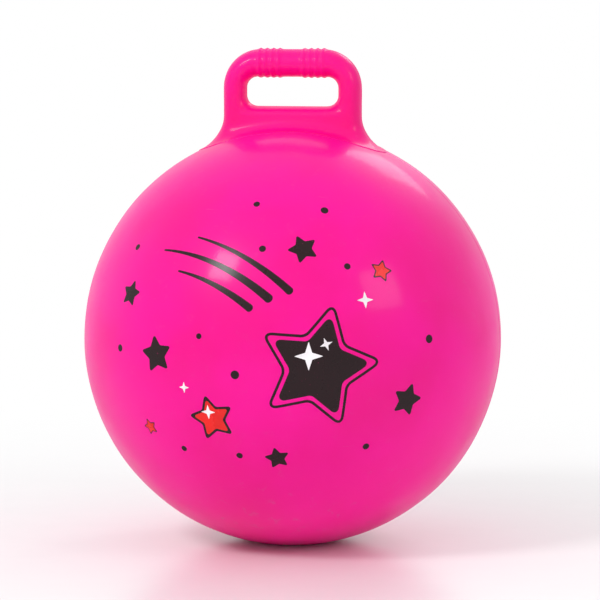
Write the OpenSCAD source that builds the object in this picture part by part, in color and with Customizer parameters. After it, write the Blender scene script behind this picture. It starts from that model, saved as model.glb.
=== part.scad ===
// Hopper ball: an inflated vinyl sphere, a hollow loop handle welded on its top
// and a push-in air valve in its back.
// The floor is z = 0, the handle stands along +Z and the printed side faces -Y.

/* [Ball] */
// Diameter of the inflated ball
ball_d = 450; // [400:1:520]
// Thickness of the vinyl skin
skin_wall = 0.8; // [0.6:0.1:1.6]
// Diameter of the flat patch that the ball presses on the floor
floor_patch_d = 66; // [40:1:90]
// Radius of the soft bend around the floor patch
floor_bend_r = 60; // [30:1:90]

/* [Loop handle] */
// Overall width of the loop
handle_w = 150; // [140:1:180]
// Thickness of the loop from front to back
handle_depth = 34; // [28:1:42]
// Width of the finger gap
gap_w = 100; // [84:1:108]
// Height of the finger gap
gap_h = 32; // [28:1:44]
// Corner radius of the finger gap
gap_corner_r = 12; // [8:1:13]
// Thickness of the grip bar over the finger gap
grip_h = 29; // [24:1:34]
// Outer corner radius of the loop
loop_corner_r = 41; // [30:1:46]
// Height of the gap's floor above the top of the ball
neck_h = 24; // [20:1:34]
// Height over which the gap's floor is rounded
rail_h = 18; // [14:1:22]
// Wall of the hollow loop
handle_wall = 2.2; // [1.6:0.1:3.4]

/* [Handle foot] */
// Fillet radius between the ends of the handle and the ball
flare_end_r = 25; // [12:1:30]
// Fillet radius between the front and back of the handle and the ball
flare_side_r = 14; // [8:1:18]
// Height of the weld edge where the foot ends on the ball
foot_edge_h = 0.8; // [0.4:0.1:1.4]
// Diameter of the two air holes under the handle
vent_d = 12; // [8:1:20]
// Distance between the two air holes
vent_spacing = 80; // [50:1:100]

/* [Grip ribs] */
// Number of ribs for each hand
rib_count = 4; // [2:1:4]
// Distance from rib to rib
rib_pitch = 7; // [6:0.5:8]
// Width of a rib at its root
rib_w = 5; // [3.5:0.5:5.5]
// Height of a rib
rib_h = 1.2; // [0.6:0.1:2]
// Smooth middle of the grip, between the two sets of ribs
grip_middle_w = 22; // [14:1:26]

/* [Valve seat] */
// Diameter of the collar that fills the hole in the skin
collar_d = 18; // [17:0.5:24]
// Height of the collar above the skin
collar_proud = 0.8; // [0.4:0.1:1.6]
// Bevel of the collar's rim
collar_bevel = 0.5; // [0.2:0.1:0.7]
// Diameter of the flange inside the skin
flange_d = 30; // [26:1:40]
// Thickness of the flange at its rim
flange_t = 1.6; // [1:0.1:3]
// Outer diameter of the tube that holds the plug
seat_tube_d = 13; // [12:0.5:15]
// Length of the tube under the plug's head
seat_tube_l = 21; // [19:0.5:28]
// Depth of the recess for the plug's head
recess_depth = 1.4; // [0.8:0.1:2]
// Width of the fingernail notch in the collar
notch_w = 5; // [3:0.5:7]

/* [Valve plug] */
// Diameter of the plug's head
head_d = 13; // [11:0.5:14]
// Thickness of the plug's head
head_t = 2; // [1.6:0.1:3]
// Bevel around the top of the head
head_bevel = 0.5; // [0.2:0.1:0.8]
// Diameter of the shallow dish in the head
dish_d = 7; // [4:0.5:9]
// Depth of the dish
dish_depth = 0.5; // [0.2:0.1:0.8]
// Diameter of the stem between its rings
stem_d = 6.6; // [5.6:0.1:7.2]
// Diameter of the sealing rings
ring_d = 8; // [7.6:0.1:9]
// Number of sealing rings
ring_count = 3; // [1:1:3]
// Distance from ring to ring
ring_pitch = 4.5; // [4:0.1:4.8]
// Length of a ring
ring_w = 1.6; // [1:0.1:2]
// Length of the stem under the head
stem_l = 18; // [16.5:0.5:19]
// Length of the stem's tapered tip
tip_l = 2; // [1:0.1:2.4]
// Diameter of the tip's end
tip_d = 4.4; // [3:0.1:5]

/* [Fits] */
// Weld line between welded pieces
weld_gap = 0.05; // [0.02:0.01:0.1]
// Radial clearance of the plug's rings in the seat
plug_clear = 0.05; // [0.02:0.01:0.09]
// Radial clearance of the plug's head in its recess
head_clear = 0.3; // [0.2:0.05:0.5]
// Clearance under the plug's head
rest_clear = 0.05; // [0.02:0.01:0.2]

/* [Hidden] */

// Length that a cut runs past the face that it opens
overrun = 1;
// Thickness of the thin slices that the loop is strung from
slice = 0.02;
// Outline of a rib, as shares of its width along the grip and of its height over the grip
rib_shares = [[-1 / 2, -1 / 4], [-1 / 4, 1], [1 / 4, 1], [1 / 2, -1 / 4]];

// The ball sits a little into its floor patch
ball_r = ball_d / 2;
patch_r = floor_patch_d / 2;
bend_offset = ball_r - floor_bend_r;
centre_z = floor_bend_r + sqrt(pow(bend_offset, 2) - pow(patch_r, 2));

// Levels of the handle, measured from the ball's centre
gap_floor = ball_r + neck_h;
gap_roof = gap_floor + gap_h;
loop_top = gap_roof + grip_h;
rail_mid = gap_floor - rail_h / 2;
leg_w = (handle_w - gap_w) / 2;
leg_x = (handle_w - leg_w) / 2;
half_depth = handle_depth / 2;

// Levels of the valve, measured from the ball's centre along its own axis
collar_face = ball_r + collar_proud;
recess_floor = collar_face - recess_depth;
seat_end = recess_floor - seat_tube_l;
bore_d = ring_d + 2 * plug_clear;
plug_face = recess_floor + rest_clear;
flange_back = sqrt(pow(ball_r - skin_wall, 2) - pow(flange_d / 2, 2)) - flange_t;

// Smoothness of the round shapes
loop_sides = 24;
hollow_sides = 16;
corner_steps = 5;
hollow_steps = 3;
foot_steps = 5;
rail_steps = 8;
skin_sides = 360;
underside_sides = 240;
$fn = 96;

// Level on the half outline where the sphere turns into the bend
function bend_level(inset) =
    centre_z - (ball_r - inset) * (centre_z - floor_bend_r) / bend_offset;

// Half outline of the ball, drawn in by the given inset
module ball_half(inset) {
    intersection() {
        square([ball_d, 2 * ball_d]);
        union() {
            translate([patch_r, floor_bend_r])
                circle(r = floor_bend_r - inset);
            translate([0, inset])
                square([patch_r, floor_bend_r]);
            intersection() {
                translate([0, centre_z])
                    circle(r = ball_r - inset);
                translate([0, bend_level(inset)])
                    square([ball_d, 2 * ball_d]);
            }
        }
    }
}

// Turns children so that their +Z leaves the ball at the valve
module at_valve() {
    translate([0, 0, centre_z])
        rotate([-90, 0, 0])
            children();
}

module ball_skin() {
    color([0.97, 0.07, 0.55])
    difference() {
        rotate_extrude()
            difference() {
                ball_half(0);
                ball_half(skin_wall);
            }
        at_valve()
            cylinder(h = ball_r + overrun, d = collar_d + 2 * weld_gap);
        for (side = [-1, 1])
            translate([side * vent_spacing / 2, 0, centre_z])
                cylinder(h = ball_r + overrun, d = vent_d);
    }
}

// A station on the loop is a pair of points, one on the finger gap and one outside
function upper_station(a) = [
    [gap_w / 2 - gap_corner_r * (1 - cos(a)), gap_roof - gap_corner_r * (1 - sin(a))],
    [handle_w / 2 - loop_corner_r * (1 - cos(a)), loop_top - loop_corner_r * (1 - sin(a))]
];

// Below the legs the outer point runs round the square corner of the neck
function lower_station(a) = [
    [gap_w / 2 - gap_corner_r * (1 - cos(a)), gap_floor + gap_corner_r * (1 - sin(a))],
    [
        gap_w / 2 - gap_corner_r + (leg_w + gap_corner_r) * min(1, 1 / tan(max(a, 1))),
        gap_floor + gap_corner_r - (rail_h + gap_corner_r) * min(1, tan(min(a, 89)))
    ]
];

// Stations of the right half of the loop, from the middle of the grip to the middle of the rail
function half_stations(steps) = concat(
    [[[0, gap_roof], [0, loop_top]]],
    [for (i = [0:steps]) upper_station(90 * (1 - i / steps))],
    [for (i = [0:steps - 1]) lower_station(90 * i / steps)],
    [[[gap_w / 2 - gap_corner_r, gap_floor], [gap_w / 2 - gap_corner_r, gap_floor - rail_h]]],
    [[[0, gap_floor], [0, gap_floor - rail_h]]]
);

// Oval section of the loop at a station, drawn in by the given inset
function loop_section(station, inset, sides) =
    let (
        middle = (station[1] + station[0]) / 2,
        half_span = (station[1] - station[0]) / 2,
        reach = half_span * (1 - inset / norm(half_span))
    )
        [
            for (j = [0:sides - 1])
                let (b = 360 * j / sides)
                    [
                        middle[0] + reach[0] * cos(b),
                        (half_depth - inset) * sin(b),
                        middle[1] + reach[1] * cos(b)
                    ]
        ];

// Skin of a closed string of rings with the same number of points
function ring_faces(rings, sides) = [
    for (k = [0:rings - 1])
        for (j = [0:sides - 1])
            let (next = (k + 1) % rings, turn = (j + 1) % sides)
                [k * sides + j, k * sides + turn, next * sides + turn, next * sides + j]
];

// The closed ring around the finger gap
module loop_ring(inset, steps, sides) {
    right = half_stations(steps);
    left = [
        for (i = [len(right) - 2:-1:1])
            [for (p = right[i]) [-p[0], p[1]]]
    ];
    stations = concat(right, left);
    polyhedron(
        points = [for (s = stations) each loop_section(s, inset, sides)],
        faces = ring_faces(len(stations), sides)
    );
}

// The two legs under the ring, down into the neck
module loop_legs(inset, foot_level, sides) {
    for (side = [-1, 1])
        hull()
            for (level = [foot_level, gap_floor + gap_corner_r])
                translate([side * leg_x, 0, level])
                    scale([leg_w / 2 - inset, half_depth - inset, 1])
                        cylinder(h = slice, r = 1, $fn = sides);
}

// One rounded rib around the grip bar, with its root sunk a little into the bar
module grip_rib(x) {
    hull()
        for (share = rib_shares)
            translate([x + share[0] * rib_w, 0, (gap_roof + loop_top) / 2])
                rotate([0, 90, 0])
                    scale([grip_h / 2 + share[1] * rib_h, half_depth + share[1] * rib_h, 1])
                        cylinder(h = slice, r = 1, center = true, $fn = loop_sides);
}

// Outline of the handle's foot: two oval ends and two straight sides.
// Each entry is a point and the direction in which the foot grows there.
function end_outline(side, first) = [
    for (i = [0:loop_sides / 2])
        let (a = first + 360 * i / loop_sides)
            [
                [side * leg_x + (leg_w / 2 - slice) * cos(a), (half_depth - slice) * sin(a)],
                [cos(a), sin(a)]
            ]
];
function side_outline(side) = [
    for (i = [1:rail_steps - 1])
        [[side * leg_x * (1 - 2 * i / rail_steps), side * (half_depth - slice)], [0, side]]
];
function foot_outline() = concat(
    end_outline(1, -90),
    side_outline(1),
    end_outline(-1, 90),
    side_outline(-1)
);

// Fillet radius in a direction, limited by the height of the neck there
function flare_r(p, dir) =
    min(
        flare_side_r + (flare_end_r - flare_side_r) * pow(dir[0], 2),
        norm([p[0], p[1], rail_mid]) - ball_r - foot_edge_h - slice
    );

// Point of the foot at a level over the ball, grown outwards
function foot_point(p, dir, grow, level) =
    let (q = p + grow * dir)
        [q[0], q[1], sqrt(pow(ball_r + level, 2) - pow(norm(q), 2))];

// The neck and its fillet, which follows the curve of the ball
module foot() {
    outline = foot_outline();
    n = len(outline);
    top = [for (o = outline) [o[0][0], o[0][1], rail_mid]];
    fillet = [
        for (i = [0:foot_steps])
            for (o = outline)
                let (a = 90 * i / foot_steps, r = flare_r(o[0], o[1]))
                    foot_point(o[0], o[1], r * (1 - cos(a)), foot_edge_h + r * (1 - sin(a)))
    ];
    bottom = [for (o = outline) foot_point(o[0], o[1], flare_r(o[0], o[1]), -overrun)];
    rings = foot_steps + 3;
    polyhedron(
        points = concat(top, fillet, bottom, [[0, 0, ball_r - overrun], [0, 0, rail_mid]]),
        faces = concat(
            [
                for (k = [0:rings - 2])
                    for (i = [0:n - 1])
                        let (j = (i + 1) % n)
                            [k * n + i, k * n + j, (k + 1) * n + j, (k + 1) * n + i]
            ],
            [for (i = [0:n - 1]) [rings * n + 1, (i + 1) % n, i]],
            [for (i = [0:n - 1]) [rings * n, (rings - 1) * n + i, (rings - 1) * n + (i + 1) % n]]
        )
    );
}

// The hollow of the neck, open towards the ball
module neck_hollow() {
    linear_extrude(height = rail_mid)
        hull()
            for (side = [-1, 1])
                translate([side * leg_x, 0])
                    scale([leg_w / 2 - handle_wall - slice, half_depth - handle_wall - slice])
                        circle(r = 1, $fn = hollow_sides);
}

module handle() {
    color([0.95, 0.05, 0.5])
    translate([0, 0, centre_z])
        difference() {
            union() {
                loop_ring(0, corner_steps, loop_sides);
                loop_legs(2 * slice, rail_mid - rail_h / 2, loop_sides);
                foot();
                for (side = [-1, 1])
                    for (i = [0:rib_count - 1])
                        grip_rib(side * (grip_middle_w / 2 + rib_w / 2 + i * rib_pitch));
            }
            loop_ring(handle_wall, hollow_steps, hollow_sides);
            loop_legs(handle_wall + 2 * slice, rail_mid - rail_h / 2, hollow_sides);
            neck_hollow();
            sphere(r = ball_r + weld_gap, $fn = underside_sides);
        }
}

module valve_seat() {
    color([0.95, 0.06, 0.52])
    at_valve()
        difference() {
            union() {
                translate([0, 0, seat_end])
                    cylinder(h = recess_floor - seat_end, d = seat_tube_d);
                translate([0, 0, flange_back])
                    cylinder(h = collar_face - collar_bevel - flange_back, d = collar_d);
                translate([0, 0, collar_face - collar_bevel])
                    cylinder(h = collar_bevel, d1 = collar_d, d2 = collar_d - 2 * collar_bevel);
                valve_flange();
            }
            translate([0, 0, seat_end - overrun])
                cylinder(h = recess_floor - seat_end + 2 * overrun, d = bore_d);
            translate([0, 0, recess_floor])
                cylinder(h = recess_depth + overrun, d = head_d + 2 * head_clear);
            translate([0, -notch_w / 2, recess_floor + recess_depth / 2])
                cube([collar_d, notch_w, recess_depth]);
        }
}

// Dished flange that is welded to the inside of the skin
module valve_flange() {
    intersection() {
        sphere(r = ball_r - skin_wall - weld_gap, $fn = skin_sides);
        translate([0, 0, flange_back])
            cylinder(h = ball_r - flange_back, d = flange_d);
    }
}

module valve_plug() {
    color([0.96, 0.96, 0.94])
    at_valve()
        difference() {
            union() {
                translate([0, 0, plug_face])
                    cylinder(h = head_t - head_bevel, d = head_d);
                translate([0, 0, plug_face + head_t - head_bevel])
                    cylinder(h = head_bevel, d1 = head_d, d2 = head_d - 2 * head_bevel);
                translate([0, 0, plug_face - stem_l + tip_l])
                    cylinder(h = stem_l - tip_l + head_t / 2, d = stem_d);
                translate([0, 0, plug_face - stem_l])
                    cylinder(h = tip_l, d1 = tip_d, d2 = stem_d);
                for (i = [1:ring_count])
                    translate([0, 0, plug_face - i * ring_pitch])
                        sealing_ring();
            }
            translate([0, 0, plug_face + head_t - dish_depth])
                cylinder(h = dish_depth + overrun, d = dish_d);
        }
}

// One ring of the plug, with a tapered lead towards the tip
module sealing_ring() {
    cylinder(h = ring_w / 2, d = ring_d);
    translate([0, 0, -ring_w])
        cylinder(h = ring_w, d1 = stem_d, d2 = ring_d);
}

ball_skin();
handle();
valve_seat();
valve_plug();
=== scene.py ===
from math import asin, cos, pi, radians, sin, sqrt, tan, tau

import bmesh
import bpy
from bpy.props import FloatProperty, FloatVectorProperty, IntProperty, PointerProperty
from bpy.types import Operator, Panel, PropertyGroup, Scene
from mathutils import Matrix, Vector, noise


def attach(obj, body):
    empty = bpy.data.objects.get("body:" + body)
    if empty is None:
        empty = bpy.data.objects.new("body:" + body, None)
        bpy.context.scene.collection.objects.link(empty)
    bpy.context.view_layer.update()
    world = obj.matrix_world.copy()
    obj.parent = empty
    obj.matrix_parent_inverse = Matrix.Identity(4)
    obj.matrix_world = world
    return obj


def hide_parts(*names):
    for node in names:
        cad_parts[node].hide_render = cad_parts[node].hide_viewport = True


bl_info = {
    "name": "Hopper Ball",
    "version": (1, 0, 0),
    "blender": (4, 5, 0),
    "location": "View3D > Sidebar > Hopper Ball",
    "description": "Dresses the packed hopper ball: vinyl skin, loop handle, air valve and front print",
    "category": "Add Mesh",
}

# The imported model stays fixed, and every piece below is made around it
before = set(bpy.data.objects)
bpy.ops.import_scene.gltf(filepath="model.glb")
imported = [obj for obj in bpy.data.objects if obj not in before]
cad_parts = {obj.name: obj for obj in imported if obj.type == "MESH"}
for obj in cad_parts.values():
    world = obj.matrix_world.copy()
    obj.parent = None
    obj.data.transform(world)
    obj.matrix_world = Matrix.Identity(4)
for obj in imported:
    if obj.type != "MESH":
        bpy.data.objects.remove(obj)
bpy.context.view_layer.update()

# All sizes are in metres, so a value written in millimetres is multiplied by this
MM = 0.001


# Settings

def length(name, description, millimetres):
    """A setting that holds a length, whose default is given in millimetres."""
    return FloatProperty(
        name=name, description=description, default=millimetres * MM, unit="LENGTH")


def angle(name, description, degrees):
    """A setting that holds an angle, whose default is given in degrees."""
    return FloatProperty(
        name=name, description=description, default=radians(degrees), subtype="ANGLE")


def number(name, description, default):
    """A setting that holds a whole number."""
    return IntProperty(name=name, description=description, default=default, min=1)


def colour(name, description, default):
    """A setting that holds a colour."""
    return FloatVectorProperty(
        name=name, description=description, default=default, subtype="COLOR", min=0, max=1)


class BallSettings(PropertyGroup):
    """Sizes of the inflated ball."""

    radius: length("Radius", "Radius of the inflated ball", 225)
    wall: length("Wall", "Thickness of the vinyl skin", 0.8)
    patch_radius: length("Floor patch", "Radius of the flat patch on the floor", 33)
    bend_radius: length("Floor bend", "Radius of the bend around the patch", 60)
    ridge_height: length("Parting line", "Height of the mould's parting line", 0.32)
    ridge_half_width: length("Parting line half width", "Half the width of the parting line", 1.3)
    pad_radius: length("Valve ring", "Radius of the ring around the valve", 22)
    pad_height: length("Valve ring height", "Height of the ring around the valve", 0.9)
    pad_width: length("Valve ring width", "Width of the ring around the valve", 4)
    wave_height: length("Wave height", "Height of the soft unevenness of the skin", 0.5)
    wave_length: length("Wave length", "Length of the soft unevenness", 62)
    spacing: angle("Spacing", "Angle from ring to ring of the skin's mesh", 1.25)
    floor_band: angle("Floor band", "Angle that follows the floor", 12)
    steps: number("Steps", "Steps around the ball", 288)

    def centre(self):
        """The ball's centre, a little lower than its radius because of the floor patch."""
        reach = self.radius - self.bend_radius
        height = self.bend_radius + sqrt(reach ** 2 - self.patch_radius ** 2)
        return Vector((0, 0, height))

    def wave(self, direction):
        """Soft unevenness of the inflated skin in a direction from its centre."""
        return self.wave_height * noise.noise(direction * self.radius / self.wave_length)


class HandleSettings(PropertyGroup):
    """Sizes of the loop handle. The main ones are those of the part's source."""

    width: length("Width", "Width of the loop", 150)
    depth: length("Depth", "Depth of the loop, front to back", 34)
    gap_width: length("Gap width", "Width of the finger gap", 100)
    gap_height: length("Gap height", "Height of the finger gap", 32)
    gap_corner: length("Gap corner", "Corner radius of the finger gap", 12)
    grip_height: length("Grip height", "Thickness of the grip bar", 29)
    corner: length("Corner", "Outer corner radius of the loop", 41)
    neck_height: length("Neck height", "Height of the gap's floor over the ball", 24)
    rail_height: length("Rail height", "Height over which the gap's floor is rounded", 18)
    flare_end: length("End fillet", "Fillet at the ends of the foot", 25)
    flare_side: length("Side fillet", "Fillet at the sides of the foot", 14)
    flare_room: length("Fillet room", "Least height of the neck over its fillet", 0.5)
    foot_edge: length("Foot edge", "Height at which the fillet ends", 0.3)
    foot_root: length("Foot root", "Depth of the foot's underside in the skin", 1.2)
    weld_height: length("Weld height", "Height of the weld flange around the foot", 0.8)
    weld_width: length("Weld width", "Width of the weld flange around the foot", 5)
    weld_root: length("Weld root", "Depth of the weld flange's middle in the skin", 0.1)
    rib_count: number("Ribs", "Number of ribs for each hand", 4)
    rib_pitch: length("Rib pitch", "Distance from rib to rib", 7)
    rib_width: length("Rib width", "Width of a rib at its root", 5)
    rib_height: length("Rib height", "Height of a rib", 1.2)
    grip_middle: length("Grip middle", "Smooth middle between the ribs", 22)
    ridge_height: length("Parting line", "Height of the mould's parting line", 0.35)
    ridge_half_width: length("Parting line half width", "Half the width of the parting line", 0.9)
    ridge_shoulder: length("Parting line shoulder", "Place where the line's slope changes", 0.5)
    join_below: length("Join below", "Depth of the melted join under the gap's floor", 27)
    join_above: length("Join above", "Height of the melted join over the gap's floor", 8.4)
    voxel: length("Voxel", "Cell that fuses the handle's parts", 1)

    def leg(self):
        """Distance of a leg from the middle of the handle, and half its width."""
        return (self.width + self.gap_width) / 4, (self.width - self.gap_width) / 4


class ValveSettings(PropertyGroup):
    """Sizes of the air valve. The main ones are those of the part's source."""

    collar_radius: length("Collar", "Radius of the collar in the skin", 9)
    collar_proud: length("Collar height", "Height of the collar above the skin", 0.8)
    collar_rim: length("Collar rim", "Rounding of the collar's rim", 0.4)
    weld_gap: length("Weld line", "Gap between the skin and the seat", 0.05)
    flange_radius: length("Flange", "Radius of the flange inside the skin", 15)
    flange_thickness: length("Flange thickness", "Thickness of the flange at its rim", 1.6)
    tube_radius: length("Tube", "Radius of the tube around the plug", 6.5)
    tube_length: length("Tube length", "Length of the tube under the plug's head", 21)
    bore_radius: length("Bore", "Radius of the tube's bore", 4.05)
    recess_radius: length("Recess", "Radius of the recess for the plug's head", 6.8)
    recess_depth: length("Recess depth", "Depth of the recess for the plug's head", 1.4)
    notch_width: length("Notch", "Width of the fingernail notch", 5)
    notch_corner: length("Notch corner", "Rounding of the fingernail notch", 0.4)
    notch_start: length("Notch start", "Distance from the valve's axis to the notch", 4.76)
    head_radius: length("Head", "Radius of the plug's head", 6.5)
    head_thickness: length("Head thickness", "Thickness of the plug's head", 2)
    head_rim: length("Head rim", "Rounding of the head's rim", 0.5)
    head_clear: length("Head clearance", "Clearance under the plug's head", 0.05)
    rim_step: length("Rim step", "Rim's middle step from its faces", 0.15)
    dish_radius: length("Dish", "Radius of the shallow dish in the head", 3.5)
    dish_depth: length("Dish depth", "Depth of the dish at its edge", 0.5)
    dish_middle: length("Dish middle", "Depth of the dish at its middle", 0.55)
    dish_slope: length("Dish slope", "Width of the dish's sloping edge", 0.4)
    stem_radius: length("Stem", "Radius of the stem between its rings", 3.3)
    stem_length: length("Stem length", "Length of the stem under the head", 18)
    ring_count: number("Rings", "Number of sealing rings", 3)
    ring_radius: length("Ring", "Radius of the sealing rings", 4)
    ring_pitch: length("Ring pitch", "Distance from ring to ring", 4.5)
    ring_width: length("Ring width", "Length of a ring's taper", 1.6)
    tip_radius: length("Tip", "Radius of the tip's end", 2.2)
    tip_length: length("Tip length", "Length of the stem's tapered tip", 2)
    edge: length("Edge", "Rounding of the moulded edges", 0.12)


class PrintSettings(PropertyGroup):
    """Sizes of the ink on the front of the ball."""

    film: length("Film", "Thickness of one layer of ink", 0.08)
    root: length("Root", "Depth of the ink's underside", 0.3)
    cell: length("Cell", "Size of the facets of the ink", 4)
    streak_cell: length("Streak cell", "Length of the facets along a streak", 2.5)
    echo_gap: length("Outline gap", "Gap from the big star to its outline", 14)
    echo_width: length("Outline width", "Width of the big star's outline", 2.8)


class ColourSettings(PropertyGroup):
    """Colours of the vinyl, the ink, the plug and the floor."""

    skin: colour("Skin", "Pink vinyl of the ball", (0.96, 0.0012, 0.295))
    handle: colour("Handle", "Pink vinyl of the handle", (0.94, 0.001, 0.25))
    valve: colour("Valve", "Pink vinyl of the valve seat", (0.92, 0.003, 0.25))
    plug: colour("Plug", "White plastic of the valve plug", (0.86, 0.86, 0.83))
    scuff: colour("Scuffs", "Rubbed and scratched vinyl", (0.62, 0.2, 0.33))
    dirt: colour("Dirt", "Handling dirt on the plug", (0.55, 0.5, 0.45))
    ink_dark: colour("Dark ink", "Brown-black ink", (0.014, 0.003, 0.005))
    ink_red: colour("Red ink", "Red ink", (0.8, 0.014, 0.012))
    ink_white: colour("White ink", "White ink", (0.92, 0.86, 0.9))
    floor: colour("Floor", "Pale studio floor", (0.93, 0.93, 0.935))


class CameraSettings(PropertyGroup):
    """Place of the camera around the ball."""

    azimuth: angle("Azimuth", "Turn to the right of the print", 10)
    elevation: angle("Elevation", "Angle over the horizon", 6)
    distance: length("Distance", "Distance from the ball", 3600)
    lens: FloatProperty(
        name="Lens", description="Focal length of the camera", default=200, unit="CAMERA")
    aim_right: length("Aim right", "Aim right of the ball's centre", 8)
    aim_up: length("Aim up", "Aim over the ball's centre", 40)


class HopperBallSettings(PropertyGroup):
    """All settings of the hopper ball."""

    ball: PointerProperty(type=BallSettings)
    handle: PointerProperty(type=HandleSettings)
    valve: PointerProperty(type=ValveSettings)
    print: PointerProperty(type=PrintSettings)
    colours: PointerProperty(type=ColourSettings)
    camera: PointerProperty(type=CameraSettings)


# Shader maths

class Value:
    """A shader output that Python expressions can combine with numbers and other outputs."""

    def __init__(self, shader, socket):
        self.shader = shader
        self.socket = socket

    def _math(self, operation, first, second):
        return self.shader.node("ShaderNodeMath", {0: first, 1: second}, operation=operation)

    def __add__(self, other):
        return self._math("ADD", self, other)

    __radd__ = __add__

    def __mul__(self, other):
        return self._math("MULTIPLY", self, other)

    __rmul__ = __mul__

    def __sub__(self, other):
        return self._math("SUBTRACT", self, other)

    def __rsub__(self, other):
        return self._math("SUBTRACT", other, self)


class Shader:
    """The node tree of a material or of the world."""

    def __init__(self, owner):
        owner.use_nodes = True
        self.owner = owner
        self.tree = owner.node_tree
        self.tree.nodes.clear()

    def node(self, kind, inputs=None, output=0, **settings):
        """Adds a node. Its settings are set first, then the values and links of its sockets."""
        made = self.tree.nodes.new(kind)
        for name, value in settings.items():
            setattr(made, name, value)
        for name, value in (inputs or {}).items():
            if isinstance(value, Value):
                self.tree.links.new(value.socket, made.inputs[name])
            else:
                made.inputs[name].default_value = value
        return Value(self, made.outputs[output]) if made.outputs else made

    def noise(self, place, scale, detail, roughness=0.5, distortion=0.0):
        """Smooth noise from 0 to 1, with features about 1 / scale metres across."""
        inputs = {
            "Vector": place, "Scale": scale, "Detail": detail,
            "Roughness": roughness, "Distortion": distortion}
        return self.node("ShaderNodeTexNoise", inputs)

    def fade(self, value, none, full):
        """Eases from 0 where the value is none to 1 where it is full."""
        inputs = {0: value, 1: none, 2: full}
        return self.node("ShaderNodeMapRange", inputs, interpolation_type="SMOOTHSTEP")

    def mix(self, factor, first, second):
        """Mixes two colours."""
        inputs = {0: factor, 6: first, 7: second}
        return self.node("ShaderNodeMix", inputs, 2, data_type="RGBA")

    def bump(self, height):
        """Normal from a height that is given in millimetres."""
        return self.node("ShaderNodeBump", {"Strength": 1.0, "Distance": MM, "Height": height})

    def surface(self, inputs):
        """Finishes a material with one principled shader, and returns the material."""
        shader = self.node("ShaderNodeBsdfPrincipled", inputs)
        self.node("ShaderNodeOutputMaterial", {"Surface": shader})
        return self.owner


def start_material(name):
    """A new material's shader and its Object coordinates, the part's own frame in metres."""
    shader = Shader(bpy.data.materials.new(name))
    return shader, shader.node("ShaderNodeTexCoord", output="Object")


def shade(tone, light=1.0, blue=1.0):
    """A colour made lighter or darker, with its blue turned up or down."""
    red, green, tint = tone
    return (min(1, red * light), min(1, green * light), min(1, tint * light * blue), 1)


# Materials

# Heights over the floor between which the scuffs fade out
SCUFF_TOP = 120 * MM
SCUFF_FOOT = 4 * MM

# Distances between which the floor fades to plain white, and that of its edges
FLOOR_NEAR = 300 * MM
FLOOR_FAR = 1100 * MM
FLOOR_EDGE = 6000 * MM

# Share of the white world that lights the ball
WORLD_LIGHT = 0.7


def vinyl_material(name, tone, scuffed, roughness, grain, dirt, worn=False):
    """Soft moulded vinyl: slightly uneven colour, satin skin, smudges, scuffs and a fine grain.
    Where it is worn, its crests are less rough and carry a painted highlight, a paler and bluer pink,
    and its grooves are rougher and carry painted shade, a darker pink."""
    shader, place = start_material(name)
    cloud = shader.noise(place, 9, 3)
    fleck = shader.noise(place, 260, 3, 0.6)
    smudge = shader.noise(place, 26, 4, 0.6, 0.6)
    base = shader.mix(
        shader.fade(cloud, 0.3, 0.7), shade(tone, 0.955, 0.93), shade(tone, 1.03, 1.07))

    # Scuffs grow towards the floor, and fine scratches run round the ball
    level = shader.node("ShaderNodeSeparateXYZ", {"Vector": place}, "Z")
    low = shader.fade(level, SCUFF_TOP, SCUFF_FOOT)
    rub = shader.fade(shader.noise(place, 70, 6, 0.7, 0.4), 0.56, 0.74)
    stretch = {"Vector": place, "Rotation": (0.5, 0.2, 0.0), "Scale": (60, 60, 900)}
    lines = shader.node("ShaderNodeMapping", stretch)
    scratch = shader.fade(shader.noise(lines, 1, 3), 0.68, 0.74) * shader.fade(smudge, 0.5, 0.64)
    scuff = (rub * low * 0.6 + rub * 0.1 + scratch * 0.25) * dirt
    base = shader.mix(scuff * 0.55, base, shade(scuffed))
    gloss = roughness + (smudge - 0.5) * 0.16 + scuff * 0.22 + (fleck - 0.5) * 0.04
    if worn:
        # Masks of crests and grooves from Pointiness, which carry a painted highlight and painted shade
        bend = shader.node("ShaderNodeNewGeometry", output="Pointiness")
        crest = shader.fade(bend, 0.515, 0.56)
        groove = shader.fade(bend, 0.485, 0.44) * (0.5 + rub)
        # Painted highlight: crests turn a paler, bluer pink. Painted shade: grooves turn a darker pink,
        # more where the rub noise is high
        base = shader.mix(crest * 0.3, base, shade(tone, 1.05, 1.35))
        base = shader.mix(groove * 0.45, base, shade(tone, 0.5, 0.7))
        gloss = gloss + groove * 0.12 - crest * 0.1
    pores = shader.noise(place, 900, 2)
    pebbles = shader.noise(place, 330, 2, 0.4)
    height = (pores + pebbles) * grain - scratch * dirt * 0.012
    return shader.surface({
        "Base Color": base,
        "Roughness": gloss,
        "Normal": shader.bump(height),
        "IOR": 1.5,
        "Specular IOR Level": 0.1,
        "Coat Weight": 0.2,
        "Coat Roughness": 0.13,
        "Subsurface Weight": 0.12,
        "Subsurface Radius": (1.0, 0.2, 0.35),
        "Subsurface Scale": 4 * MM,
    })


def ink_material(name, tone, under):
    """Screen ink: a little glossier than the skin, with worn specks that show the vinyl."""
    shader, place = start_material(name)
    cloud = shader.noise(place, 34, 4, 0.6)
    speck = shader.noise(place, 420, 4, 0.62)
    worn = shader.fade(speck, 0.7, 0.735) * shader.fade(cloud, 0.5, 0.62)
    ink = shader.mix(shader.fade(cloud, 0.3, 0.7), shade(tone, 0.9), shade(tone, 1.12))
    gloss = 0.27 + (cloud - 0.5) * 0.14 + worn * 0.15
    screen = shader.noise(place, 1300, 1)
    height = screen * 0.008 - worn * 0.02
    return shader.surface({
        "Base Color": shader.mix(worn * 0.75, ink, shade(under)),
        "Roughness": gloss,
        "Normal": shader.bump(height),
        "IOR": 1.5,
        "Specular IOR Level": 0.25,
    })


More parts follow.
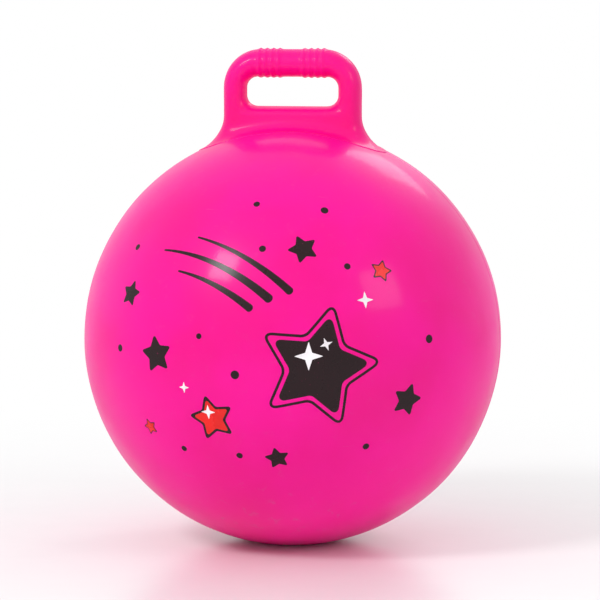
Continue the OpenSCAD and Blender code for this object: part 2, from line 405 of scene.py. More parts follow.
def plastic_material(name, tone, soiled):
    """White moulded plastic with a little handling dirt."""
    shader, place = start_material(name)
    cloud = shader.noise(place, 180, 4, 0.6)
    speck = shader.noise(place, 1500, 3, 0.6)
    dirt = shader.fade(cloud, 0.52, 0.72) * shader.fade(speck, 0.45, 0.65)
    return shader.surface({
        "Base Color": shader.mix(dirt * 0.3, shade(tone), shade(soiled)),
        "Roughness": 0.36 + (cloud - 0.5) * 0.2,
        "Normal": shader.bump(speck * 0.01 + cloud * 0.02),
        "IOR": 1.51,
        "Subsurface Weight": 0.15,
        "Subsurface Radius": (1.0, 0.9, 0.8),
        "Subsurface Scale": 1.5 * MM,
    })


def floor_material(name, tone):
    """Pale satin floor that turns to plain white away from the ball, for the camera alone."""
    shader, place = start_material(name)
    cloud = shader.noise(place, 6, 4, 0.6)
    floor = shader.node("ShaderNodeBsdfPrincipled", {
        "Base Color": shader.mix(cloud, shade(tone, 0.985), shade(tone, 1.01)),
        "Roughness": 0.24 + (cloud - 0.5) * 0.08,
        "Normal": shader.bump(shader.noise(place, 240, 2) * 0.03),
        "IOR": 1.5,
    })
    away = shader.node("ShaderNodeVectorMath", {0: place}, "Value", operation="LENGTH")
    seen = shader.node("ShaderNodeLightPath", output="Is Camera Ray")
    white = shader.node("ShaderNodeEmission", {"Color": (1, 1, 1, 1), "Strength": 1.0})
    blend = shader.fade(away, FLOOR_NEAR, FLOOR_FAR) * seen
    mixed = shader.node("ShaderNodeMixShader", {0: blend, 1: floor, 2: white})
    shader.node("ShaderNodeOutputMaterial", {"Surface": mixed})
    return shader.owner


# Mesh helpers

# Points that lie closer together than this are merged
MERGE = 0.001 * MM

# Sides of the handle's tubes and of its weld flange, and steps of the valve around its axis
TUBE_SIDES = 48
FLANGE_SIDES = 16
VALVE_STEPS = 96


def add_object(name, data):
    """An object of the scene that shows a mesh, a lamp or a camera."""
    made = bpy.data.objects.new(name, data)
    bpy.context.scene.collection.objects.link(made)
    return made


def mesh_data(name, mesh):
    """Turns a bmesh into mesh data."""
    data = bpy.data.meshes.new(name)
    mesh.to_mesh(data)
    mesh.free()
    return data


def remove_object(helper):
    """Removes a helper object with its mesh."""
    data = helper.data
    bpy.data.objects.remove(helper)
    bpy.data.meshes.remove(data)


def rounded_edges(mesh, limit_degrees):
    """Smooth shading, apart from edges sharper than the limit."""
    limit = radians(limit_degrees)
    for face in mesh.faces:
        face.smooth = True
    for edge in mesh.edges:
        edge.smooth = len(edge.link_faces) < 2 or edge.calc_face_angle(0) < limit


def finish_piece(name, mesh, material, body, nodes=()):
    """Turns a bmesh into a piece that rides on a body and stands for the given nodes."""
    piece = add_object(name, mesh_data(name, mesh))
    piece.data.materials.append(material)
    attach(piece, body)
    if nodes:
        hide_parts(*nodes)


def add_ring(mesh, points):
    """A closed ring of edges through the given points."""
    verts = bmesh.ops.create_circle(mesh, segments=len(points), radius=1)["verts"]
    for vert, point in zip(verts, points):
        vert.co = point
    return [mesh.edges.get(pair) for pair in zip(verts, verts[1:] + verts[:1])]


def oval_points(middle, across, along, sides=TUBE_SIDES):
    """Points of an oval with the given half axes."""
    turns = [tau * i / sides for i in range(sides)]
    return [middle + across * cos(a) + along * sin(a) for a in turns]


def add_sweep(mesh, rings, closed=False):
    """Skins a string of rings, and closes it with two caps or with itself."""
    loops = [add_ring(mesh, points) for points in rings]
    for first, second in zip(loops, loops[1:]):
        bmesh.ops.bridge_loops(mesh, edges=first + second)
    if closed:
        bmesh.ops.bridge_loops(mesh, edges=loops[-1] + loops[0])
    else:
        bmesh.ops.contextual_create(mesh, geom=loops[0])
        bmesh.ops.contextual_create(mesh, geom=loops[-1])


def add_turned(mesh, profile, steps=VALVE_STEPS, closed=False):
    """Spins a profile of (radius, height) pairs around the valve's axis, which is +Y."""
    verts = [mesh.verts.new((r, y, 0)) for r, y in profile]
    edges = [mesh.edges.new(pair) for pair in zip(verts, verts[1:])]
    if closed:
        edges.append(mesh.edges.new((verts[-1], verts[0])))
    bmesh.ops.spin(
        mesh, geom=verts + edges, cent=(0, 0, 0), axis=(0, 1, 0), angle=tau,
        steps=steps, use_merge=True, use_duplicate=False)
    bmesh.ops.remove_doubles(mesh, verts=mesh.verts[:], dist=MERGE)
    bmesh.ops.recalc_face_normals(mesh, faces=mesh.faces[:])


def round_off(mesh, geometry, width, segments, affect):
    """Bevels edges or corners to a round profile."""
    bmesh.ops.bevel(
        mesh, geom=geometry, offset=width, offset_type="OFFSET", segments=segments,
        profile=0.5, affect=affect, material=-1, clamp_overlap=affect == "EDGES")


def soften(mesh, width, segments, limit_degrees=30):
    """Bevels every edge sharper than the limit."""
    limit = radians(limit_degrees)
    edges = [edge for edge in mesh.edges if edge.calc_face_angle(0) > limit]
    round_off(mesh, edges, width, segments, "EDGES")


def cut_along(mesh, place, normal, snap):
    """Adds edges where a plane crosses the mesh."""
    geometry = mesh.verts[:] + mesh.edges[:] + mesh.faces[:]
    bmesh.ops.bisect_plane(mesh, geom=geometry, dist=snap, plane_co=place, plane_no=normal)


def face_outwards(mesh, limit_degrees):
    """Turns the faces outwards and gives them smooth shading."""
    bmesh.ops.recalc_face_normals(mesh, faces=mesh.faces[:])
    rounded_edges(mesh, limit_degrees)


def to_centre(mesh, ball):
    """Moves what was made around the origin to the ball's centre."""
    bmesh.ops.translate(mesh, vec=ball.centre(), verts=mesh.verts[:])


def evaluated(mesh, name, kind, settings):
    """Runs a bmesh through a modifier and returns the result as a bmesh."""
    carrier = add_object(name, mesh_data(name, mesh))
    modifier = carrier.modifiers.new(name, kind)
    for key, value in settings.items():
        setattr(modifier, key, value)
    graph = bpy.context.evaluated_depsgraph_get()
    result = bmesh.new()
    result.from_object(carrier, graph)
    remove_object(carrier)
    return result


# Ball

def floor_reach(ball, slope, inset):
    """Distance from the ball's centre to its outline, at an angle from straight down."""
    height = ball.centre().z
    flat = (height - inset) / cos(slope)
    if flat * sin(slope) <= ball.patch_radius:
        return flat
    offset = ball.radius - ball.bend_radius
    if slope < asin(ball.patch_radius / offset):
        drop = height - ball.bend_radius
        near = ball.patch_radius * sin(slope) + drop * cos(slope)
        return near + sqrt(near ** 2 - offset ** 2 + (ball.bend_radius - inset) ** 2)
    return ball.radius - inset


# Outline of a small ridge, as shares of its half width and of its height
RIDGE_SHARES = ((-1, 0), (-0.62, 0.42), (-0.3, 0.88), (0, 1), (0.3, 0.88), (0.62, 0.42), (1, 0))


def ridge_stops(middle, half_width, height):
    """Places and heights across a small rounded ridge."""
    return [(middle + place * half_width, rise * height) for place, rise in RIDGE_SHARES]


def ball_profile(ball, hole_radius):
    """Outer profile as (angle from the front pole, height over the sphere)."""
    radius = ball.radius
    hole = pi - asin(hole_radius / radius)
    ridge = ridge_stops(
        pi / 2, ball.ridge_half_width / radius, ball.ridge_height)
    pad = ridge_stops(
        pi - ball.pad_radius / radius, ball.pad_width / 2 / radius, ball.pad_height)
    special = ridge + pad

    # Even rings, apart from those that would crowd the parting line or the valve's ring
    least = ball.spacing * 0.4
    plain = [
        (i * ball.spacing, 0) for i in range(int(hole / ball.spacing))
        if all(abs(i * ball.spacing - place) > least for place, _ in special)]
    return sorted(plain + special) + [(hole, 0)]


def make_ball(ball, hole_radius):
    """The skin of the ball, with its inner wall, parting line, valve ring and floor patch."""
    outer = ball_profile(ball, hole_radius)

    # The inner wall is out of sight and takes every fourth ring
    inner = [(a, -ball.wall) for a, _ in outer[::4] + outer[-1:]]
    profile = inner + outer[::-1]
    points = [
        ((ball.radius + rise) * sin(a), -(ball.radius + rise) * cos(a))
        for a, rise in profile]
    mesh = bmesh.new()
    add_turned(mesh, points, ball.steps)
    for vert in mesh.verts:
        slope = vert.co.angle(Vector((0, 0, -1)))
        aim = vert.co.normalized()
        if slope < ball.floor_band:
            inset = max(0, ball.radius - vert.co.length)
            vert.co = aim * floor_reach(ball, slope, inset)
        else:
            vert.co += aim * ball.wave(aim) * min(1, slope / ball.floor_band - 1)
    to_centre(mesh, ball)
    rounded_edges(mesh, 50)
    return mesh


# Handle

def loop_stations(handle, gap_floor, steps):
    """Places round the loop: x and z on the finger gap, then x and z outside."""
    corner = handle.gap_corner
    gap_roof = gap_floor + handle.gap_height
    top = gap_roof + handle.grip_height
    gap_x = handle.gap_width / 2
    out_x = handle.width / 2
    bend_x, bend_z = gap_x - corner, gap_floor + corner

    # The grip and the upper corner, which is round inside and outside
    right = [(0, gap_roof, 0, top)]
    for i in range(steps + 1):
        a = pi / 2 * (1 - i / steps)
        dip, side = 1 - sin(a), 1 - cos(a)
        right.append((
            gap_x - corner * side, gap_roof - corner * dip,
            out_x - handle.corner * side, top - handle.corner * dip))

    # The lower corner, which is square outside, where the neck takes over
    for i in range(steps):
        a = pi / 2 * i / steps
        spread = (out_x - bend_x) / max(1, tan(a))
        drop = (handle.rail_height + corner) * min(1, tan(a))
        right.append((
            bend_x + corner * cos(a), bend_z - corner * sin(a),
            bend_x + spread, bend_z - drop))
    rail = gap_floor - handle.rail_height
    right.append((bend_x, gap_floor, bend_x, rail))
    left = [(-x, z, -out, low) for x, z, out, low in right[:0:-1]]
    return right + [(0, gap_floor, 0, rail)] + left


def add_loop(mesh, handle, gap_floor):
    """The closed oval ring around the finger gap."""
    along = Vector((0, handle.depth / 2, 0))
    rings = []
    for x, z, out, low in loop_stations(handle, gap_floor, 16):
        inside, outside = Vector((x, 0, z)), Vector((out, 0, low))
        middle, across = (inside + outside) / 2, (outside - inside) / 2
        rings.append(oval_points(middle, across, along))
    add_sweep(mesh, rings, closed=True)


# Outline of a rib, as shares of its width along the grip and of its height over the grip.
# Its crest is higher than the rib, because the smoothing takes some of it away
RIB_SHARES = (
    (-0.5, -0.4), (-0.36, 0.5), (-0.2, 1.05), (0, 1.25), (0.2, 1.05), (0.36, 0.5), (0.5, -0.4))


def add_ribs(mesh, handle, grip_middle_height):
    """Rounded ribs around the grip, a set for each hand."""
    first = handle.grip_middle / 2 + handle.rib_width / 2
    for side in (-1, 1):
        for i in range(handle.rib_count):
            x = side * (first + i * handle.rib_pitch)
            rings = []
            for place, share in RIB_SHARES:
                rise = share * handle.rib_height
                middle = Vector((x + place * handle.rib_width, 0, grip_middle_height))
                across = Vector((0, 0, handle.grip_height / 2 + rise))
                along = Vector((0, handle.depth / 2 + rise, 0))
                rings.append(oval_points(middle, across, along))
            add_sweep(mesh, rings)


def foot_outline(handle, ball, rail_middle, end_steps=24, side_steps=32):
    """Outline of the neck: points, each with the way the foot grows there and its fillet."""
    leg_x, leg_half = handle.leg()
    half_depth = handle.depth / 2
    outline = []
    for side, first in ((1, -pi / 2), (-1, pi / 2)):
        for i in range(end_steps + 1):
            a = first + pi * i / end_steps
            grow = Vector((cos(a), sin(a)))
            point = Vector((side * leg_x + leg_half * grow.x, half_depth * grow.y))
            outline.append((point, grow))
        for i in range(1, side_steps):
            x = side * leg_x * (1 - 2 * i / side_steps)
            outline.append((Vector((x, side * half_depth)), Vector((0, side))))
    return [
        (point, grow, flare_radius(handle, ball, point, grow, rail_middle))
        for point, grow in outline]


def flare_radius(handle, ball, point, grow, rail_middle):
    """Fillet radius in a direction, limited by the height of the neck there."""
    wished = handle.flare_side + (handle.flare_end - handle.flare_side) * grow.x ** 2
    neck = Vector((point.x, point.y, rail_middle)).length - ball.radius
    return min(wished, neck - handle.flare_room)


def on_ball(ball, flat, rise):
    """The point over a place in the XY plane at a height over the sphere."""
    return Vector((flat.x, flat.y, sqrt((ball.radius + rise) ** 2 - flat.length_squared)))


def add_foot(mesh, handle, ball, rail_middle):
    """The neck with the fillet that spreads over the ball."""
    outline = foot_outline(handle, ball, rail_middle)
    steps = 12
    rings = [[Vector((point.x, point.y, rail_middle)) for point, _, _ in outline]]
    for i in range(steps + 1):
        a = pi / 2 * i / steps
        out, rise = 1 - cos(a), 1 - sin(a)
        rings.append([
            on_ball(ball, point + grow * fillet * out, handle.foot_edge + fillet * rise)
            for point, grow, fillet in outline])

    # The underside runs in towards the middle on the curve of the ball
    for share in (1, 0.8, 0.6, 0.4, 0.2, 0.02):
        rings.append([
            on_ball(ball, (point + grow * fillet) * share, -handle.foot_root)
            for point, grow, fillet in outline])
    add_sweep(mesh, rings)


def add_legs(mesh, handle, rail_middle, gap_floor):
    """The two legs where they run down into the neck."""
    leg_x, leg_half = handle.leg()
    across, along = Vector((leg_half, 0, 0)), Vector((0, handle.depth / 2, 0))
    for side in (-1, 1):
        rings = [
            oval_points(Vector((side * leg_x, 0, z)), across, along)
            for z in (rail_middle - handle.rail_height / 2, gap_floor + handle.gap_corner)]
        add_sweep(mesh, rings)


# Height of the parting line at its shoulders, as a share of its full height
SHOULDER_SHARE = 0.6


def raise_parting_line(mesh, handle, ball):
    """Cuts the handle along its middle plane and lifts a fine ridge there."""
    rim, shoulder = handle.ridge_half_width, handle.ridge_shoulder
    for place in (-rim, -shoulder, 0, shoulder, rim):
        cut_along(mesh, (0, place, 0), (0, 1, 0), 0.01 * MM)
    mesh.normal_update()
    centre = ball.centre()
    moves = []
    for vert in mesh.verts:
        away = abs(vert.co.y)
        if away < rim and (vert.co - centre).length > ball.radius:
            share = SHOULDER_SHARE * (rim - away) / (rim - shoulder)
            if away < shoulder:
                share = 1 - (1 - SHOULDER_SHARE) * away / shoulder
            moves.append((vert, vert.normal * handle.ridge_height * share))
    for vert, move in moves:
        vert.co += move


def make_handle(handle, ball):
    """The loop handle: ring, legs, ribs and flared foot fused into one soft shape."""
    gap_floor = ball.radius + handle.neck_height
    rail_middle = gap_floor - handle.rail_height / 2
    grip_middle_height = gap_floor + handle.gap_height + handle.grip_height / 2
    parts = bmesh.new()
    add_loop(parts, handle, gap_floor)
    add_legs(parts, handle, rail_middle, gap_floor)
    add_ribs(parts, handle, grip_middle_height)
    add_foot(parts, handle, ball, rail_middle)
    to_centre(parts, ball)
    bmesh.ops.recalc_face_normals(parts, faces=parts.faces[:])
    fuse = {"mode": "VOXEL", "voxel_size": handle.voxel}
    mesh = evaluated(parts, "handle_parts", "REMESH", fuse)
    centre = ball.centre()
    smooth_handle(mesh, handle, centre.z + gap_floor)
    raise_parting_line(mesh, handle, ball)

    # The underside lies in the middle of the skin, out of sight
    seat = ball.radius - ball.wall / 2
    for vert in mesh.verts:
        arm = vert.co - centre
        if arm.length < seat:
            vert.co = centre + arm.normalized() * seat
    face_outwards(mesh, 80)
    return mesh


# Rounds of smoothing for the whole handle, and for the joins on top of that
HANDLE_ROUNDS = 5
JOIN_ROUNDS = 24


def smooth_handle(mesh, handle, gap_floor):
    """Melts the joins between the loop and the neck more than the rest."""
    low, high = gap_floor - handle.join_below, gap_floor + handle.join_above
    joins = [vert for vert in mesh.verts if low < vert.co.z < high]
    for verts, times in ((mesh.verts[:], HANDLE_ROUNDS), (joins, JOIN_ROUNDS)):
        for _ in range(times):
            bmesh.ops.smooth_vert(
                mesh, verts=verts, factor=0.5, use_axis_x=True, use_axis_y=True, use_axis_z=True)


def make_weld_flange(handle, ball):
    """The thin rim with which the handle's foot is welded to the ball."""
    rail_middle = ball.radius + handle.neck_height - handle.rail_height / 2
    rings = []
    for point, grow, fillet in foot_outline(handle, ball, rail_middle, 32, 48):
        middle = on_ball(ball, point + grow * fillet, -handle.weld_root)
        up = middle.normalized()
        out = Vector((grow.x, grow.y, 0))
        out = (out - up * out.dot(up)).normalized()
        across = out * handle.weld_width / 2
        along = up * (handle.weld_height + handle.weld_root)
        rings.append(oval_points(middle, across, along, FLANGE_SIDES))
    mesh = bmesh.new()
    add_sweep(mesh, rings, closed=True)
    to_centre(mesh, ball)
    face_outwards(mesh, 80)
    return mesh


# Valve

def rim_stops(radius, top, rounding, step):
    """Profile of a rim that is rounded in two steps, from its side to its top."""
    return [(radius, top - rounding), (radius - step, top - step), (radius - rounding, top)]


def make_seat(valve, ball):
    """The soft socket that holds the plug, with its collar, flange and fingernail notch."""
    face = ball.radius + valve.collar_proud
    recess = face - valve.recess_depth
    under = ball.radius - ball.wall - valve.weld_gap
    back = sqrt((ball.radius - ball.wall) ** 2 - valve.flange_radius ** 2)
    back -= valve.flange_thickness
    between = (valve.flange_radius + valve.collar_radius) / 2
    flange = [
        (r, sqrt(under ** 2 - r ** 2))
        for r in (valve.flange_radius, between, valve.collar_radius)]
    profile = [
        (valve.bore_radius, recess - valve.tube_length),
        (valve.tube_radius, recess - valve.tube_length),
        (valve.tube_radius, back),
        (valve.flange_radius, back),
        *flange,
        *rim_stops(valve.collar_radius, face, valve.collar_rim, valve.rim_step),
        (valve.recess_radius, face),
        (valve.recess_radius, recess),
        (valve.bore_radius, recess),
    ]
    mesh = bmesh.new()
    add_turned(mesh, profile, closed=True)

    # The notch starts inside the recess and runs out through the collar
    cutter = bmesh.new()
    box = bmesh.ops.create_cube(cutter, size=1)["verts"]
    size = (valve.collar_radius, valve.recess_depth, valve.notch_width)
    place = (valve.notch_start + valve.collar_radius / 2, face, 0)
    bmesh.ops.scale(cutter, vec=size, verts=box)
    bmesh.ops.translate(cutter, vec=place, verts=box)
    soften(cutter, valve.notch_corner, 3)
    tool = add_object("notch", mesh_data("notch", cutter))
    cut = {"operation": "DIFFERENCE", "solver": "EXACT", "object": tool}
    mesh = evaluated(mesh, "seat_blank", "BOOLEAN", cut)
    remove_object(tool)
    bmesh.ops.remove_doubles(mesh, verts=mesh.verts[:], dist=MERGE)
    soften(mesh, valve.edge, 2, 40)
    to_centre(mesh, ball)
    rounded_edges(mesh, 40)
    return mesh


def make_plug(valve, ball):
    """The push-in stopper with its dished head and sealing rings."""
    face = ball.radius + valve.collar_proud - valve.recess_depth + valve.head_clear
    top = face + valve.head_thickness
    tip = face - valve.stem_length
    profile = [(0, tip), (valve.tip_radius, tip), (valve.stem_radius, tip + valve.tip_length)]
    for i in range(valve.ring_count, 0, -1):
        level = face - i * valve.ring_pitch
        profile += [
            (valve.stem_radius, level - valve.ring_width),
            (valve.ring_radius, level),
            (valve.ring_radius, level + valve.ring_width / 2),
            (valve.stem_radius, level + valve.ring_width / 2)]
    profile += [
        (valve.stem_radius, face),
        (valve.head_radius, face),
        *rim_stops(valve.head_radius, top, valve.head_rim, valve.rim_step),
        (valve.dish_radius, top),
        (valve.dish_radius - valve.dish_slope, top - valve.dish_depth),
        (0, top - valve.dish_middle)]
    mesh = bmesh.new()
    add_turned(mesh, profile)
    soften(mesh, valve.edge, 2)
    to_centre(mesh, ball)
    rounded_edges(mesh, 40)
    return mesh


# Print

# Number of points, then the radius of the notches and the rounding of the tips, as shares of
# the outer radius
STAR_SHARES = (5, 0.52, 0.18)
SPARKLE_SHARES = (4, 0.34, 0.08)

# Rounding of the notches, as a share of the rounding of the tips
NOTCH_SHARE = 0.35


def add_star(mesh, outer, shares=STAR_SHARES):
    """A flat star with rounded tips and notches."""
    points, inner_share, tip_share = shares
    verts = bmesh.ops.create_circle(
        mesh, cap_ends=True, segments=2 * points, radius=outer)["verts"]
    bmesh.ops.scale(mesh, vec=(inner_share, inner_share, 1), verts=verts[1::2])
    round_off(mesh, verts[1::2], outer * tip_share * NOTCH_SHARE, 4, "VERTICES")

    # The tips are the corners that still reach the outer radius
    tips = [vert for vert in mesh.verts if vert.co.length > outer * 0.99]
    round_off(mesh, tips, outer * tip_share, 7, "VERTICES")


def add_star_outline(mesh, outer, width):
    """The rim alone of a rounded star."""
    add_star(mesh, outer)
    inside = mesh.faces[:]
    bmesh.ops.inset_region(
        mesh, faces=inside, thickness=width, use_boundary=True, use_even_offset=True)
    bmesh.ops.delete(mesh, geom=inside, context="FACES_ONLY")


def add_dot(mesh, radius):
    """A round dot."""
    bmesh.ops.create_circle(mesh, cap_ends=True, segments=32, radius=radius)


# Width that is left at the very end of a streak, as a share of its width there
STREAK_END = 0.02


def add_streak(mesh, cell, bend, start, end, wide, narrow):
    """A curved streak on a circle of the radius bend, from wide to narrow, with round ends."""
    steps = max(16, int(abs(end - start) * bend / cell))
    bmesh.ops.create_grid(mesh, x_segments=steps, y_segments=6, size=1)
    for vert in mesh.verts:
        share = (1 - cos(pi * (vert.co.x + 1) / 2)) / 2
        angle = start + (end - start) * share
        half = (wide + (narrow - wide) * share) / 2
        near_end = min(share, 1 - share) * abs(end - start) * bend
        if near_end < half:
            half *= sqrt(max(STREAK_END ** 2, 1 - (1 - near_end / half) ** 2))
        reach = bend + half * vert.co.y
        vert.co = Vector((reach * cos(angle), reach * sin(angle), 0))


def wrap_motif(target, source, ball, ink, place, turn, layer):
    """Gives a flat motif its thickness and lays it on the front of the ball."""
    bounds = max(vert.co.length for vert in source.verts)
    count = int(bounds / ink.cell) + 1
    for i in range(-count, count + 1):
        for normal in (Vector((1, 0, 0)), Vector((0, 1, 0))):
            cut_along(source, normal * i * ink.cell, normal, 0.02 * MM)
    bmesh.ops.translate(source, vec=(0, 0, -ink.root), verts=source.verts[:])
    lifted = bmesh.ops.extrude_face_region(source, geom=source.faces[:], use_keep_orig=True)
    verts = [item for item in lifted["geom"] if isinstance(item, bmesh.types.BMVert)]
    bmesh.ops.translate(source, vec=(0, 0, ink.root + ink.film * layer), verts=verts)
    bmesh.ops.recalc_face_normals(source, faces=source.faces[:])

    side, rise = place[0] * MM / ball.radius, place[1] * MM / ball.radius
    level = cos(rise)
    out = Vector((level * sin(side), -level * cos(side), sin(rise)))
    east = Vector((cos(side), sin(side), 0))
    north = out.cross(east)
    centre = ball.centre()
    spin = Matrix.Rotation(radians(turn), 2)
    for vert in source.verts:
        flat = spin @ vert.co.xy
        arc = flat.length / ball.radius
        heading = (east * flat.x + north * flat.y).normalized() if arc else out
        aim = out * cos(arc) + heading * sin(arc)
        vert.co = centre + aim * (ball.radius + vert.co.z + ball.wave(aim))
    data = mesh_data("motif", source)
    target.from_mesh(data)
    bpy.data.meshes.remove(data)


# Each row starts with a place on the ball, in millimetres to the right and up. A star has its
# turn in degrees and its outer radius after that, and a dot its radius
DARK_STARS = (
    ((66, -6), -14, 56), ((-112, 2), 10, 21), ((166, -44), -16, 19), ((52, 118), 22, 17),
    ((-160, 62), -8, 15), ((22, -106), 12, 14))
RED_STARS = (((-48, -62), 14, 27), ((142, 92), -20, 13), ((-134, -78), 18, 10))
SPARKLES = (
    ((56, 6), 0, 15), ((74, 18), 20, 7), ((-52, -55), 0, 8), ((118, 62), 0, 9),
    ((-78, -30), 0, 6))
DOTS = (
    ((-20, -14), 4.5), ((-60, 24), 3), ((4, 118), 3.6), ((102, 98), 3.4), ((192, 18), 4.4),
    ((124, -94), 3.6), ((-22, -104), 3.4), ((-92, -100), 3.2), ((-168, 4), 3.8),
    ((-176, 112), 3.4), ((-12, 172), 3.4), ((84, 164), 4))

# A streak lies on a circle around its place: the radius of the circle, where on it the streak
# starts and ends in degrees, and its width at the start and at the end
STREAKS = (
    ((-122, -98), 190, 49, 82, 8.5, 2),
    ((-122, -98), 210, 46, 91, 9.5, 2),
    ((-122, -98), 230, 43, 80, 8.5, 2))

# Size of the red inside a star, as a share of its dark rim
RED_SHARE = 0.8


def make_print(ball, ink):
    """The three inks: a big dark star with streaks, small stars, dots and white sparkles."""
    inks = {"dark": bmesh.new(), "red": bmesh.new(), "white": bmesh.new()}

    def lay(name, place, turn, layer, build, *sizes):
        """Builds a motif and lays it on the ball in one of the inks."""
        motif = bmesh.new()
        build(motif, *sizes)
        wrap_motif(inks[name], motif, ball, ink, place, turn, layer)

    for place, turn, size in DARK_STARS + RED_STARS:
        lay("dark", place, turn, 1, add_star, size * MM)
    place, turn, size = DARK_STARS[0]
    lay("dark", place, turn, 1, add_star_outline, size * MM + ink.echo_gap, ink.echo_width)
    for place, turn, size in RED_STARS:
        lay("red", place, turn, 2, add_star, size * RED_SHARE * MM)
    for place, turn, size in SPARKLES:
        lay("white", place, turn, 3, add_star, size * MM, SPARKLE_SHARES)
    for place, size in DOTS:
        lay("dark", place, 0, 1, add_dot, size * MM)
    for place, bend, start, end, wide, narrow in STREAKS:
        lay("dark", place, 0, 1, add_streak, ink.streak_cell, bend * MM,
            radians(start), radians(end), wide * MM, narrow * MM)
    for mesh in inks.values():
        rounded_edges(mesh, 40)
    return inks


# Operators

class HOPPERBALL_OT_ball(Operator):
    """Make the inflated vinyl ball"""

    bl_idname = "hopperball.ball"
    bl_label = "Ball"

    def execute(self, context):
        settings = context.scene.hopper_ball
        colours, valve = settings.colours, settings.valve
        vinyl = vinyl_material(
            "pink_vinyl", colours.skin, colours.scuff, roughness=0.4, grain=0.04, dirt=1.0)
        mesh = make_ball(settings.ball, valve.collar_radius + valve.weld_gap)
        finish_piece("ball_shell", mesh, vinyl, "ball", ["ball_skin"])
        return {"FINISHED"}


class HOPPERBALL_OT_handle(Operator):
    """Make the loop handle and its weld flange"""

    bl_idname = "hopperball.handle"
    bl_label = "Handle"

    def execute(self, context):
        settings = context.scene.hopper_ball
        colours = settings.colours
        vinyl = vinyl_material(
            "handle_vinyl", colours.handle, colours.scuff, roughness=0.42, grain=0.07, dirt=0.7,
            worn=True)
        mesh = make_handle(settings.handle, settings.ball)
        finish_piece("handle_loop", mesh, vinyl, "ball", ["handle"])
        flange = make_weld_flange(settings.handle, settings.ball)
        finish_piece("handle_weld", flange, vinyl, "ball")
        return {"FINISHED"}


class HOPPERBALL_OT_valve(Operator):
    """Make the valve seat and its plug"""

    bl_idname = "hopperball.valve"
    bl_label = "Valve"

    def execute(self, context):
        settings = context.scene.hopper_ball
        colours = settings.colours
        vinyl = vinyl_material(
            "valve_vinyl", colours.valve, colours.scuff, roughness=0.3, grain=0.008, dirt=0.5)
        seat = make_seat(settings.valve, settings.ball)
        finish_piece("valve_socket", seat, vinyl, "ball", ["valve_seat"])
        plastic = plastic_material("plug_plastic", colours.plug, colours.dirt)
        plug = make_plug(settings.valve, settings.ball)
        finish_piece("valve_stopper", plug, plastic, "plug", ["valve_plug"])
        return {"FINISHED"}


class HOPPERBALL_OT_print(Operator):
    """Lay the star print on the front of the ball"""

    bl_idname = "hopperball.print"
    bl_label = "Print"

    def execute(self, context):
        settings = context.scene.hopper_ball
        colours = settings.colours
        tones = {"dark": colours.ink_dark, "red": colours.ink_red, "white": colours.ink_white}
        for name, mesh in make_print(settings.ball, settings.print).items():
            material = ink_material("ink_" + name, tones[name], colours.skin)
            finish_piece("print_" + name, mesh, material, "ball")
        return {"FINISHED"}


class HOPPERBALL_OT_stage(Operator):
    """Set up the floor, the lights, the world and the camera"""

    bl_idname = "hopperball.stage"
    bl_label = "Stage"

    def execute(self, context):
        settings = context.scene.hopper_ball
        make_floor(settings.colours.floor)
        make_world()
        for lamp in LAMPS:
            add_lamp(settings.ball.centre(), *lamp)
        add_camera(settings.ball.centre(), settings.camera)
        context.scene.view_settings.view_transform = "Standard"
        return {"FINISHED"}


def make_floor(tone):
    """A wide pale floor at z = 0."""
    mesh = bmesh.new()
    bmesh.ops.create_grid(mesh, x_segments=8, y_segments=8, size=FLOOR_EDGE)
    floor = add_object("floor", mesh_data("floor", mesh))
    floor.data.materials.append(floor_material("floor_white", tone))


def make_world():
    """White where the camera and reflections see it, softer as a light."""
    world = bpy.data.worlds.new("studio")
    bpy.context.scene.world = world
    shader = Shader(world)
    shown = 0
    for name in ("Is Camera Ray", "Is Glossy Ray", "Is Transmission Ray"):
        ray = shader.node("ShaderNodeLightPath", output=name)
        shown = shader.node("ShaderNodeMath", {0: shown, 1: ray}, operation="MAXIMUM")
    strength = WORLD_LIGHT + shown * (1 - WORLD_LIGHT)
    sky = shader.node("ShaderNodeBackground", {"Color": (1, 1, 1, 1), "Strength": strength})
    shader.node("ShaderNodeOutputWorld", {"Surface": sky})


# Each lamp's name, place in metres, side of its square in metres and power in watts
LAMPS = (
    ("key", (-1.7, -2.3, 2.6), 0.9, 52),
    ("fill", (2.4, -1.2, 1.6), 1.0, 12),
    ("back", (0.8, 2.6, 2.2), 1.0, 14))


def turn_towards(aim, item, place):
    """Puts a lamp or the camera at a place and turns it towards its aim."""
    item.location = place
    item.rotation_euler = (aim - place).to_track_quat("-Z", "Y").to_euler()


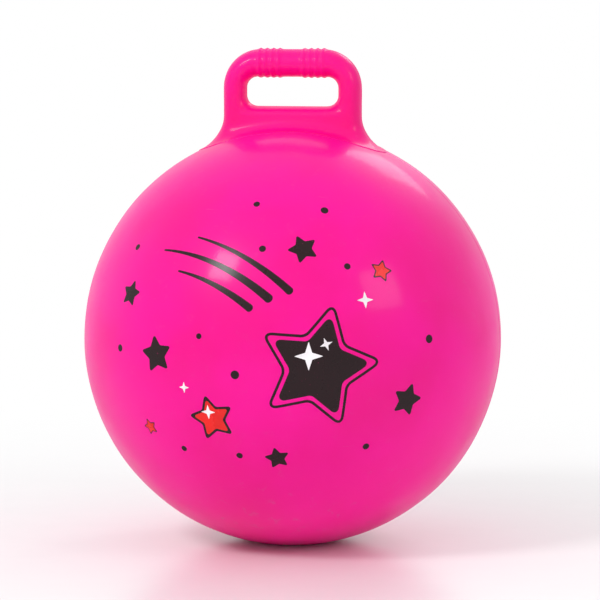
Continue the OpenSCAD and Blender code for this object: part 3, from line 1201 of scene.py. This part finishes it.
def add_lamp(aim, name, place, size, power):
    """A soft square lamp turned towards the ball."""
    data = bpy.data.lights.new(name, "AREA")
    data.shape = "SQUARE"
    data.size = size
    data.energy = power
    turn_towards(aim, add_object(name, data), Vector(place))


def add_camera(centre, view):
    """Camera at the photograph's angle: a little from the right and a little from above."""
    level = cos(view.elevation)
    back = Vector((
        level * sin(view.azimuth), -level * cos(view.azimuth), sin(view.elevation)))
    aim = centre + Vector((view.aim_right, 0, view.aim_up))
    data = bpy.data.cameras.new("camera")
    data.lens = view.lens
    camera = add_object("camera", data)
    turn_towards(aim, camera, aim + back * view.distance)
    bpy.context.scene.camera = camera


class HOPPERBALL_PT_panel(Panel):
    """Sidebar panel with the hopper ball's operators"""

    bl_label = "Hopper Ball"
    bl_idname = "HOPPERBALL_PT_panel"
    bl_space_type = "VIEW_3D"
    bl_region_type = "UI"
    bl_category = "Hopper Ball"

    def draw(self, context):
        column = self.layout.column()
        for operator in OPERATORS:
            column.operator(operator.bl_idname)
        settings = context.scene.hopper_ball
        for part in type(settings).__annotations__:
            group = getattr(settings, part)
            box = self.layout.box()
            for name in type(group).__annotations__:
                box.prop(group, name)


SETTINGS = (
    BallSettings, HandleSettings, ValveSettings, PrintSettings, ColourSettings, CameraSettings,
    HopperBallSettings)
OPERATORS = (
    HOPPERBALL_OT_stage, HOPPERBALL_OT_ball, HOPPERBALL_OT_handle, HOPPERBALL_OT_valve,
    HOPPERBALL_OT_print)
CLASSES = SETTINGS + OPERATORS + (HOPPERBALL_PT_panel,)


def register():
    """Registers the settings, the operators and the panel."""
    for item in CLASSES:
        bpy.utils.register_class(item)
    Scene.hopper_ball = PointerProperty(type=HopperBallSettings)


def unregister():
    """Removes what register added."""
    del Scene.hopper_ball
    for item in reversed(CLASSES):
        bpy.utils.unregister_class(item)


def main():
    """Makes every piece in order."""
    register()
    for operator in OPERATORS:
        group, name = operator.bl_idname.split(".")
        getattr(getattr(bpy.ops, group), name)()


if __name__ == "__main__":
    main()
